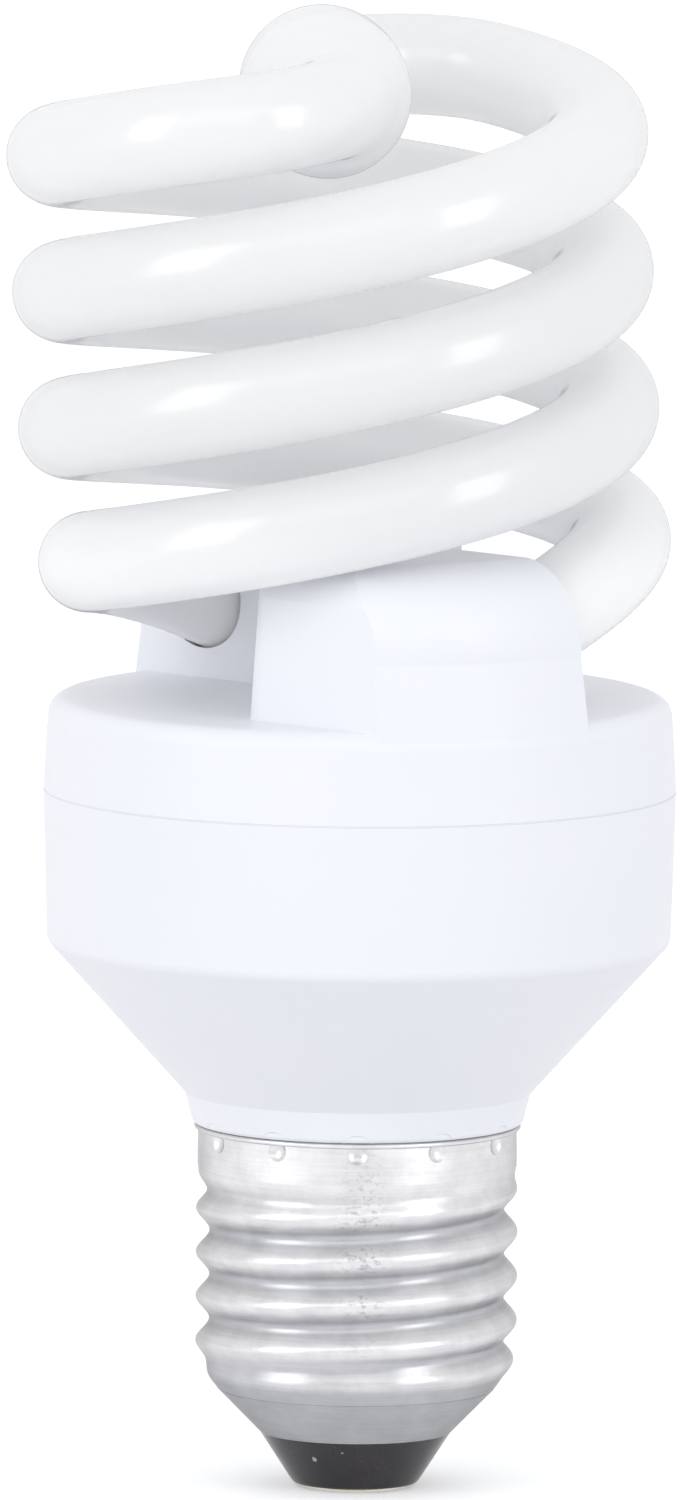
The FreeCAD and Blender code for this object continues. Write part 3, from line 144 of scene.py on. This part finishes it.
class Surface:
    """A material made of procedural nodes around one Principled shader."""

    def __init__(self, name, roughness=0.5, metallic=0.0, **settings):
        self.material = bpy.data.materials.new(name)
        self.material.use_nodes = True
        self.tree = self.material.node_tree
        self.shader = self.tree.nodes["Principled BSDF"]
        self.shader.inputs["Roughness"].default_value = roughness
        self.shader.inputs["Metallic"].default_value = metallic
        for socket, value in settings.items():
            self.shader.inputs[socket.replace("_", " ")].default_value = value
        self.place = self.add("ShaderNodeTexCoord").outputs["Object"]

    def add(self, kind, **settings):
        node = self.tree.nodes.new(kind)
        for name, value in settings.items():
            setattr(node, name, value)
        return node

    def link(self, source, target):
        self.tree.links.new(source, target)

    def stretched(self, x, y, z):
        """Gives the place in the object, scaled along each axis."""
        node = self.add("ShaderNodeMapping")
        node.inputs["Scale"].default_value = (x, y, z)
        self.link(self.place, node.inputs["Vector"])
        return node.outputs["Vector"]

    def height(self):
        """Gives the height above the ground, in metres."""
        node = self.add("ShaderNodeSeparateXYZ")
        self.link(self.place, node.inputs["Vector"])
        return node.outputs["Z"]

    def reach(self):
        """Gives the distance from the lamp's axis, in metres."""
        node = self.add("ShaderNodeVectorMath", operation="LENGTH")
        self.link(self.stretched(1, 1, 0), node.inputs[0])
        return node.outputs["Value"]

    def distance(self, centre, place=None):
        """Gives the distance from a point, in metres."""
        node = self.add("ShaderNodeVectorMath", operation="DISTANCE")
        self.link(place or self.place, node.inputs[0])
        node.inputs[1].default_value = centre
        return node.outputs["Value"]

    def facing(self):
        """Gives how far the surface turns away from the view: 0 face on, 1 at its outline."""
        node = self.add("ShaderNodeLayerWeight")
        node.inputs["Blend"].default_value = 0.5
        return node.outputs["Facing"]

    def noise(self, scale, detail=3.0, roughness=0.5, place=None):
        """Gives a noise between 0 and 1, with a number of cells per metre."""
        node = self.add("ShaderNodeTexNoise")
        node.inputs["Scale"].default_value = scale
        node.inputs["Detail"].default_value = detail
        node.inputs["Roughness"].default_value = roughness
        self.link(place or self.place, node.inputs["Vector"])
        return node.outputs["Fac"]

    def ramp(self, factor, *stops):
        """Maps a factor through (position, colour) stops."""
        node = self.add("ShaderNodeValToRGB")
        node.color_ramp.interpolation = "EASE"
        while len(node.color_ramp.elements) < len(stops):
            node.color_ramp.elements.new(0.5)
        for element, (position, tint) in zip(node.color_ramp.elements, stops):
            element.position = position
            element.color = tint
        self.link(factor, node.inputs["Fac"])
        return node.outputs["Color"]

    def range(self, factor, low, high, from_low=0.3, from_high=0.7):
        """Maps a factor to a range of numbers, with soft ends."""
        node = self.add("ShaderNodeMapRange", interpolation_type="SMOOTHSTEP")
        node.inputs["From Min"].default_value = from_low
        node.inputs["From Max"].default_value = from_high
        node.inputs["To Min"].default_value = low
        node.inputs["To Max"].default_value = high
        self.link(factor, node.inputs["Value"])
        return node.outputs["Result"]

    def math(self, operation, first, second):
        """Works out one number from two, each an output or a plain number."""
        node = self.add("ShaderNodeMath", operation=operation)
        for socket, value in zip(node.inputs, (first, second)):
            if isinstance(value, (int, float)):
                socket.default_value = value
            else:
                self.link(value, socket)
        return node.outputs["Value"]

    def mix(self, factor, first, second, blend="MIX"):
        """Mixes two colours, each an output or a plain colour."""
        node = self.add("ShaderNodeMix", data_type="RGBA", blend_type=blend)
        sockets = [socket for socket in node.inputs if socket.type == "RGBA"]
        if isinstance(factor, (int, float)):
            node.inputs["Factor"].default_value = factor
        else:
            self.link(factor, node.inputs["Factor"])
        for socket, value in zip(sockets, (first, second)):
            if isinstance(value, tuple):
                socket.default_value = value
            else:
                self.link(value, socket)
        return [socket for socket in node.outputs if socket.type == "RGBA"][0]

    def times(self, first, second):
        """Multiplies two colours."""
        return self.mix(1.0, first, second, "MULTIPLY")

    def paint(self, tint):
        self.link(tint, self.shader.inputs["Base Color"])

    def rough(self, value):
        self.link(value, self.shader.inputs["Roughness"])

    def bump(self, height, depth, strength=1.0):
        """Raises the surface by a height times a depth in metres."""
        node = self.add("ShaderNodeBump")
        node.inputs["Strength"].default_value = strength
        node.inputs["Distance"].default_value = depth
        self.link(height, node.inputs["Height"])
        self.link(node.outputs["Normal"], self.shader.inputs["Normal"])


# Materials

def opal_glass():
    """White coating behind a clear polished wall that light soaks through, with a thin darker rim of
    painted shade at its outline.
    """
    surface = Surface("opal_glass", IOR=1.5, Subsurface_Weight=1.0,
                      Subsurface_Radius=(1.0, 1.0, 1.0), Subsurface_Anisotropy=0.5,
                      Coat_Roughness=0.13, Coat_IOR=1.5)
    soak = surface.range(surface.height(), SOAK_IN_LEGS, SOAK_IN_COIL, LEG_TOP, COIL_CLEAR)
    surface.link(soak, surface.shader.inputs["Subsurface Scale"])
    clouds = surface.noise(90)
    body = surface.ramp(clouds, (0.3, color(0.985, 0.985, 0.988)), (0.7, color(0.994, 0.994, 0.995)))
    # painted shade: bluish grey patches where the tube folds into its bulge
    for centre, size in FOLD_SHADE_PATCHES:
        body = surface.mix(painted_shade_patch(surface, centre, size), body, color(0.83, 0.83, 0.89))
    facing = surface.facing()
    # painted shade: the colour darkens into a thin grey rim where the surface turns away from the
    # view
    rim = surface.ramp(facing, (0.62, WHITE), (0.88, color(0.88, 0.88, 0.89)),
                       (0.98, color(0.4, 0.4, 0.41)))
    surface.paint(surface.times(body, rim))
    surface.rough(surface.range(facing, 0.29, 0.85, from_low=0.6, from_high=1.0))
    polish = surface.range(facing, 0.9, 0.0, from_low=0.35, from_high=0.75)
    surface.link(polish, surface.shader.inputs["Coat Weight"])
    return surface.material


def painted_shade_patch(surface, centre, size):
    """Gives a soft patch round a point: 1 in the middle, 0 outside it, with an uneven edge."""
    start, end = PATCH_FADE
    wander = surface.math("MULTIPLY", surface.noise(400), size * PATCH_WANDER)
    away = surface.math("ADD", surface.distance(centre), wander)
    return surface.range(away, 1.0, 0.0, from_low=size * start, from_high=size * end)


def housing_plastic():
    """Satin bluish white moulded plastic with a fine spark-eroded grain."""
    surface = Surface("housing_plastic", IOR=1.46)
    patches = surface.noise(60)
    surface.paint(surface.ramp(patches, (0.3, color(0.865, 0.88, 0.922)),
                               (0.7, color(0.878, 0.89, 0.928))))
    surface.rough(surface.range(surface.noise(500), 0.38, 0.46))
    surface.bump(surface.noise(2600, detail=2.0), 0.01 * MM, strength=0.5)
    return surface.material


def rolled_aluminium():
    """Satin aluminium with fine lines round the cap, from rolling, a mottled haze, some pits, and
    painted shade that darkens the thread's roots.
    """
    surface = Surface("rolled_aluminium", metallic=1.0, Specular_Tint=color(0.62, 0.61, 0.61))
    lines = surface.noise(1.0, roughness=0.6, place=surface.stretched(120, 120, 6500))
    haze = surface.noise(420, detail=5.0, roughness=0.65)
    body = surface.ramp(haze, (0.3, color(0.69, 0.685, 0.7)), (0.7, color(0.79, 0.785, 0.79)))
    streaks = surface.ramp(lines, (0.35, color(0.94, 0.94, 0.945)), (0.6, WHITE))
    body = surface.times(body, streaks)
    # painted shade: the colour darkens from the thread's crests into its roots
    crests = surface.range(surface.reach(), 0.0, 1.0, THREAD_ROOT, THREAD_CREST)
    painted_thread_shade = surface.ramp(crests, (0.0, color(0.66, 0.67, 0.69)), (0.45, color(0.86, 0.86, 0.87)),
                        (0.9, WHITE))
    body = surface.times(body, painted_thread_shade)
    surface.paint(surface.mix(pits(surface), body, color(0.5, 0.5, 0.52)))
    surface.rough(surface.range(haze, 0.31, 0.39))
    surface.bump(lines, 0.009 * MM, strength=0.5)
    return surface.material


def pits(surface):
    """Gives small flat pits that thin out from the middle of the pitted strip."""
    specks = surface.noise(3400, detail=2.0, roughness=0.6, place=surface.stretched(0.6, 0.6, 1.0))
    specks = surface.range(specks, 0.0, 1.0, from_low=0.52, from_high=0.66)
    x, y, z = PITTED_STRIP
    start, end = PITTED_FADE
    squeezed = surface.stretched(1.0, 1.0, 1.0 / PITTED_TALLER)
    away = surface.distance((x, y, z / PITTED_TALLER), squeezed)
    strip = surface.range(away, 1.0, 0.0, PITTED_WIDTH * start, PITTED_WIDTH * end)
    return surface.math("MULTIPLY", specks, strip)


def black_insulator():
    """Glossy black with a dusty bloom and light specks."""
    surface = Surface("black_insulator", IOR=1.5)
    bloom = surface.noise(350, detail=4.0)
    body = surface.ramp(bloom, (0.35, color(0.012, 0.009, 0.013)),
                        (0.65, color(0.02, 0.016, 0.021)))
    specks = surface.ramp(surface.noise(900, detail=1.0), (0.76, color(0, 0, 0)), (0.79, WHITE))
    surface.paint(surface.mix(specks, body, color(0.4, 0.38, 0.38)))
    surface.rough(surface.range(bloom, 0.16, 0.28))
    surface.bump(surface.noise(700), 0.02 * MM, strength=0.4)
    return surface.material


def plain_finish(name, low, high, scale, roughness, grain, metallic):
    """Makes a finish whose colour and gloss wander a little, with a fine grain."""
    surface = Surface(name, metallic=metallic)
    patches = surface.noise(scale, detail=4.0)
    surface.paint(surface.ramp(patches, (0.35, color(*low)), (0.65, color(*high))))
    gloss = surface.noise(scale * 3)
    surface.rough(surface.range(gloss, roughness - ROUGHNESS_SPREAD, roughness + ROUGHNESS_SPREAD))
    surface.bump(surface.noise(scale * 12, detail=2.0), grain)
    return surface.material


def paint_nodes(frame):
    """Gives every CAD node the material of what it is made of."""
    plain_finishes = {name: plain_finish(name, *facts) for name, facts in PLAIN_FINISHES.items()}
    finishes = {node: plain_finishes[name] for node, name in PLAIN_NODES.items()}
    finishes["glass_spiral_tube"] = opal_glass()
    finishes["upper_cover"] = housing_plastic()
    finishes["lower_housing"] = housing_plastic()
    finishes["cap_shell"] = rolled_aluminium()
    finishes["cap_insulator"] = black_insulator()
    for name, item in frame["nodes"].items():
        item.data.materials.clear()
        item.data.materials.append(finishes[name])


# Pieces that the CAD leaves out

def add_ring(name, radius, height, section, material):
    """Lays a thin ring with an oval section round the axis."""
    half_width, half_height = section
    points = []
    for step in range(RING_STEPS):
        turn = 2 * math.pi * step / RING_STEPS
        for side in range(RING_SIDES):
            angle = 2 * math.pi * side / RING_SIDES
            out = radius + half_width * math.cos(angle)
            points.append((out * math.cos(turn), out * math.sin(turn),
                           height + half_height * math.sin(angle)))
    faces = []
    for step in range(RING_STEPS):
        here = step * RING_SIDES
        there = (step + 1) % RING_STEPS * RING_SIDES
        for side in range(RING_SIDES):
            after = (side + 1) % RING_SIDES
            faces.append((here + side, there + side, there + after, here + after))
    mesh = bpy.data.meshes.new(name)
    mesh.from_pydata(points, [], faces)
    mesh.polygons.foreach_set("use_smooth", [True] * len(faces))
    mesh.materials.append(material)
    ring = bpy.data.objects.new(name, mesh)
    bpy.context.scene.collection.objects.link(ring)
    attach(ring, "root")


# Ground, light and camera

def add_ground():
    """Lays a pale floor that reads as white to the camera and keeps the lamp's shadow."""
    half = GROUND_SIZE / 2
    corners = [(-half, -half, 0), (half, -half, 0), (half, half, 0), (-half, half, 0)]
    mesh = bpy.data.meshes.new("ground")
    mesh.from_pydata(corners, [], [(0, 1, 2, 3)])
    ground = bpy.data.objects.new("ground", mesh)
    bpy.context.scene.collection.objects.link(ground)
    surface = Surface("ground_paper", roughness=0.9, Specular_IOR_Level=0.0, Emission_Color=WHITE)
    surface.paint(surface.ramp(surface.noise(3), (0.3, color(0.84, 0.84, 0.84)),
                               (0.7, color(0.86, 0.86, 0.86))))
    surface.link(seen_directly(surface, GROUND_GLOW), surface.shader.inputs["Emission Strength"])
    mesh.materials.append(surface.material)


def seen_directly(surface, strength):
    """Gives a strength for rays from the camera, or through and off gloss, and none for the rest."""
    rays = surface.add("ShaderNodeLightPath").outputs
    seen = surface.math("MAXIMUM", rays["Is Camera Ray"],
                        surface.math("MAXIMUM", rays["Is Glossy Ray"], rays["Is Transmission Ray"]))
    return surface.math("MULTIPLY", seen, strength)


def light_world():
    """Surrounds the scene with an even pale light, and shows white behind it."""
    world = bpy.data.worlds.new("surround")
    bpy.context.scene.world = world
    world.use_nodes = True
    tree = world.node_tree
    even = tree.nodes["Background"]
    even.inputs["Color"].default_value = color(*SURROUND)
    even.inputs["Strength"].default_value = 1.0
    white = tree.nodes.new("ShaderNodeBackground")
    white.inputs["Color"].default_value = WHITE
    rays = tree.nodes.new("ShaderNodeLightPath")
    mix = tree.nodes.new("ShaderNodeMixShader")
    seen = rays.outputs["Is Camera Ray"]
    for name in ("Is Glossy Ray", "Is Transmission Ray"):
        either = tree.nodes.new("ShaderNodeMath")
        either.operation = "MAXIMUM"
        tree.links.new(seen, either.inputs[0])
        tree.links.new(rays.outputs[name], either.inputs[1])
        seen = either.outputs["Value"]
    tree.links.new(seen, mix.inputs["Fac"])
    tree.links.new(even.outputs["Background"], mix.inputs[1])
    tree.links.new(white.outputs["Background"], mix.inputs[2])
    tree.links.new(mix.outputs["Shader"], tree.nodes["World Output"].inputs["Surface"])


def add_soft_box(name, place, width, height, watts):
    """Hangs a large rectangular lamp that faces the middle of the object."""
    light = bpy.data.lights.new(name, "AREA")
    light.shape = "RECTANGLE"
    light.size = width
    light.size_y = height
    light.energy = watts
    lamp = bpy.data.objects.new(name, light)
    bpy.context.scene.collection.objects.link(lamp)
    lamp.location = place
    aim = Vector((0, 0, AIM_HEIGHT)) - lamp.location
    lamp.rotation_euler = aim.to_track_quat("-Z", "Y").to_euler()


def add_camera():
    """Sets the camera where the photograph was taken from."""
    data = bpy.data.cameras.new("camera")
    data.sensor_width = SENSOR
    data.lens = SENSOR * VIEW_DISTANCE * PIXELS_PER_METRE / IMAGE_HEIGHT
    data.shift_x = (IMAGE_WIDTH / 2 - AXIS_COLUMN) / IMAGE_HEIGHT
    data.shift_y = (AIM_ROW - IMAGE_HEIGHT / 2) / IMAGE_HEIGHT
    data.clip_start = 0.1
    data.clip_end = 100
    camera = bpy.data.objects.new("camera", data)
    bpy.context.scene.collection.objects.link(camera)
    back = Vector((0, -math.cos(VIEW_ELEVATION), math.sin(VIEW_ELEVATION)))
    camera.location = Vector((0, 0, AIM_HEIGHT)) + back * VIEW_DISTANCE
    roll = Quaternion((0, 0, 1), VIEW_ROLL)
    camera.rotation_mode = "QUATERNION"
    camera.rotation_quaternion = (-back).to_track_quat("-Z", "Y") @ roll
    bpy.context.scene.camera = camera


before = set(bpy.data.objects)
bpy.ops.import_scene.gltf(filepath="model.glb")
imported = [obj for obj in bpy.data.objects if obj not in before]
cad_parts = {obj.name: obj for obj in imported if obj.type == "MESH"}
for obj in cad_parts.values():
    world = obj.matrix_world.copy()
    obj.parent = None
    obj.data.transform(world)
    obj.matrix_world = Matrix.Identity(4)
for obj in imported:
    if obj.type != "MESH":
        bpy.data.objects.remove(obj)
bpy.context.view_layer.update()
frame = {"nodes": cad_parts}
bpy.context.scene.view_settings.view_transform = "Standard"
paint_nodes(frame)
add_ring("seam_lip", SEAM_RADIUS - SEAM_LIP_INSET, SEAM_HEIGHT, SEAM_LIP, housing_plastic())
add_ring("neck_lip", NECK_RADIUS, NECK_HEIGHT, NECK_LIP, housing_plastic())
add_ring("cap_rim", RIM_RADIUS, RIM_HEIGHT, CAP_RIM, rolled_aluminium())
add_ground()
light_world()
for name, facts in SOFT_BOXES.items():
    add_soft_box(name, *facts)
add_camera()
